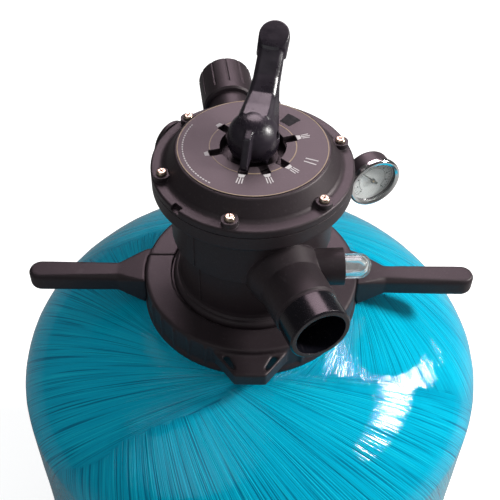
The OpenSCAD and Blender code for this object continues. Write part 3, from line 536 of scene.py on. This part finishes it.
def label_marks():
    """Cream rings, a white wedge at each notch, and generic bars and dashes for words."""
    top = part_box("label_plate")[1].z
    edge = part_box("label_plate")[1].x
    cream = band(edge - 1.0 * MM, edge - 0.1 * MM, 0, 360, 180)
    notch = math.degrees(NOTCH_HALF / NOTCH_OUTER)
    stops = NOTCHES + [NOTCHES[0] + 360]
    for a, b in zip(stops[:-1], stops[1:]):
        cream += band(NOTCH_OUTER - 2.2 * MM, NOTCH_OUTER - 1.2 * MM,
                      a + notch + 1, b - notch - 1, 12)
    wedge_foot, wedge_head = NOTCH_OUTER + 0.6 * MM, NOTCH_OUTER + 4.4 * MM
    white = [[polar(wedge_foot, angle - 4.5), polar(wedge_head, angle - 3),
              polar(wedge_head, angle + 3), polar(wedge_foot, angle + 4.5)] for angle in NOTCHES]
    white += [bar(51 * MM, angle + 2.6 * k, (9 - 2 * abs(k)) * MM, 1.0 * MM)
              for angle in WORDED_NOTCHES for k in (-1, 0, 1)]
    white += [bar(57 * MM, angle, 12 * MM, 1.3 * MM) for angle in SIDE_BARS]
    for angle in DASHES:
        white += band(64.6 * MM, 65.8 * MM, angle, angle + 1.9, 2)
    sticker = band(45 * MM, 60 * MM, 41, 56, 6)
    for name, shapes, material in (
            ("label_rings", cream, enamel("label_cream", (0.34, 0.25, 0.15), 0.5)),
            ("label_marks", white, enamel("label_white", (0.62, 0.6, 0.6), 0.5)),
            ("label_sticker", sticker, enamel("label_black", (0.004, 0.004, 0.007), 0.8))):
        finish_piece(film(name, shapes, top, LABEL_FILM, material), "valve", "label_film")


def gauge_marks():
    """Scale of the pressure gauge: ticks, short marks and two printed arcs."""
    low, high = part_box("gauge_dial")
    face = Vector(JOINTS["needle_turn"]["axis"]).normalized()
    if face.y > 0:
        face = -face
    up = Vector((0, 0, 1))
    turn = Matrix((up.cross(face).normalized(), up, face)).transposed().to_4x4()
    place = Matrix.Translation((low + high) / 2) @ turn
    dial_r = (high.z - low.z) / 2
    ticks = []
    for k in range(SCALE_SWEEP // TICK_STEP + 1):
        angle, long = SCALE_FROM + k * TICK_STEP, k % TICKS_PER_MARK == 0
        ticks.append(bar(dial_r - 4.2 * MM, angle, (3.2 if long else 1.8) * MM, 0.45 * MM))
        if long:
            ticks.append(bar(dial_r - 7.4 * MM, angle, 1.6 * MM, 1.8 * MM))
    for inner in (dial_r - 2.2 * MM, dial_r - 9.6 * MM):
        ticks += band(inner, inner + 0.4 * MM, SCALE_FROM, SCALE_FROM + SCALE_SWEEP, 60)
    marks = film("gauge_marks", ticks, DIAL_HALF, DIAL_FILM, MATERIALS["needle_paint"], place)
    finish_piece(marks, "valve", "gauge_white")


label_marks()
gauge_marks()


# ---- Rounded moulding edges ----

def soften(node, voxel, rounds):
    """Rounds a moulded node's edges by about two voxels."""
    remesh = NODES[node].modifiers.new("round_remesh", "REMESH")
    remesh.mode, remesh.voxel_size, remesh.use_smooth_shade = "VOXEL", voxel, True
    smooth = NODES[node].modifiers.new("round_smooth", "SMOOTH")
    smooth.factor, smooth.iterations = 0.5, rounds


soften("lever", 0.7 * MM, 16)
soften("lock_ring_rear", 1.3 * MM, 3)
soften("lock_ring_front", 1.3 * MM, 3)


# ---- Studio ----

HORIZON_GREY, OVERHEAD_GREY, REFLECTED_GREY = 0.12, 0.52, 0.06
FLOOR_SIZE, FLOOR_GLOW = 14, 0.65
SENSOR_WIDTH, LENS = 36, 61.2  # millimetres
CAMERA_PITCH, CAMERA_ROLL = math.radians(90 - 45.44), math.radians(0.72)
CAMERA_OFFSET = Vector((-0.0016, -0.619, 0.492))  # from the axis at the lid's highest point


def area_light(name, target, compass, height, distance, size, power, colour, sheen_only=False):
    """A round softbox at a compass angle and height angle (degrees) as seen from its target."""
    data = bpy.data.lights.new(name, "AREA")
    data.shape, data.size, data.energy, data.color = "DISK", size, power, colour
    lamp = bpy.data.objects.new(name, data)
    flat = math.cos(math.radians(height))
    reach = Vector((flat * math.cos(math.radians(compass)), flat * math.sin(math.radians(compass)),
                    math.sin(math.radians(height))))
    lamp.location = Vector(target) + distance * reach
    lamp.rotation_euler = (-reach).to_track_quat("-Z", "Y").to_euler()
    lamp.visible_diffuse = not sheen_only
    bpy.context.scene.collection.objects.link(lamp)


def studio_world():
    """White to the camera, dark to reflections, and to matt surfaces a grey that rises from the
    horizon to overhead."""
    world = bpy.data.worlds.new("studio")
    bpy.context.scene.world = world
    world.use_nodes = True
    tree = world.node_tree
    rays = tree.nodes.new("ShaderNodeLightPath")
    height = tree.nodes.new("ShaderNodeSeparateXYZ")
    tree.links.new(tree.nodes.new("ShaderNodeTexCoord").outputs["Generated"], height.inputs[0])
    rise = tree.nodes.new("ShaderNodeMapRange")
    rise.inputs["To Min"].default_value = HORIZON_GREY
    rise.inputs["To Max"].default_value = OVERHEAD_GREY
    tree.links.new(height.outputs["Z"], rise.inputs["Value"])
    strength = rise.outputs["Result"]
    for ray, level in (("Is Glossy Ray", REFLECTED_GREY), ("Is Camera Ray", 1.0)):
        choose = tree.nodes.new("ShaderNodeMix")
        tree.links.new(rays.outputs[ray], choose.inputs[0])
        tree.links.new(strength, choose.inputs[2])
        choose.inputs[3].default_value = level
        strength = choose.outputs[0]
    background = tree.nodes["Background"]
    background.inputs["Color"].default_value = (1, 1, 1, 1)
    tree.links.new(strength, background.inputs["Strength"])


def studio_floor():
    """A pale floor that glows a little to the camera, so that only soft shadows show on it."""
    bpy.ops.mesh.primitive_plane_add(size=FLOOR_SIZE)
    floor = bpy.context.object
    floor.name = "studio_floor"
    s = Shader("studio_floor")
    seen = s.add("ShaderNodeLightPath").outputs["Is Camera Ray"]
    pale = s.mix(s.noise(0.6, detail=3), (0.86, 0.86, 0.86), (0.9, 0.9, 0.9))
    s.set(Base_Color=s.mix(seen, (0.4, 0.4, 0.4), pale), Roughness=0.8,
          Emission_Color=(1, 1, 1), Specular_IOR_Level=0.1)
    s.plug(s.bsdf.inputs["Emission Strength"], s.math("MULTIPLY", seen, FLOOR_GLOW))
    floor.data.materials.append(s.mat)


def studio():
    """World, floor and three softboxes: a small key from the right, a pink card behind, a fill."""
    bpy.context.scene.view_settings.view_transform = "Standard"
    studio_world()
    studio_floor()
    dome = (0.155, -0.11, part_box("tank_shell")[1].z - 50 * MM)
    lid = (0, 0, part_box("label_plate")[1].z)
    area_light("key", dome, compass=8, height=36, distance=2.2, size=0.46, power=60,
               colour=(1, 0.98, 0.95))
    area_light("back_card", lid, compass=84, height=47, distance=2.4, size=1.8, power=44,
               colour=(1, 0.8, 0.9), sheen_only=True)
    area_light("fill", lid, compass=235, height=45, distance=2.6, size=1.6, power=5,
               colour=(0.95, 0.98, 1))


def photo_camera():
    """Looks down on the valve at the product shot's angle and distance."""
    data = bpy.data.cameras.new("camera")
    data.sensor_width, data.lens = SENSOR_WIDTH, LENS
    camera = bpy.data.objects.new("camera", data)
    turn = Matrix.Rotation(CAMERA_PITCH, 4, "X") @ Matrix.Rotation(CAMERA_ROLL, 4, "Z")
    lid_top = Vector((0, 0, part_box("lid")[1].z))
    camera.matrix_world = Matrix.Translation(lid_top + CAMERA_OFFSET) @ turn
    bpy.context.scene.collection.objects.link(camera)
    bpy.context.scene.camera = camera


studio()
photo_camera()
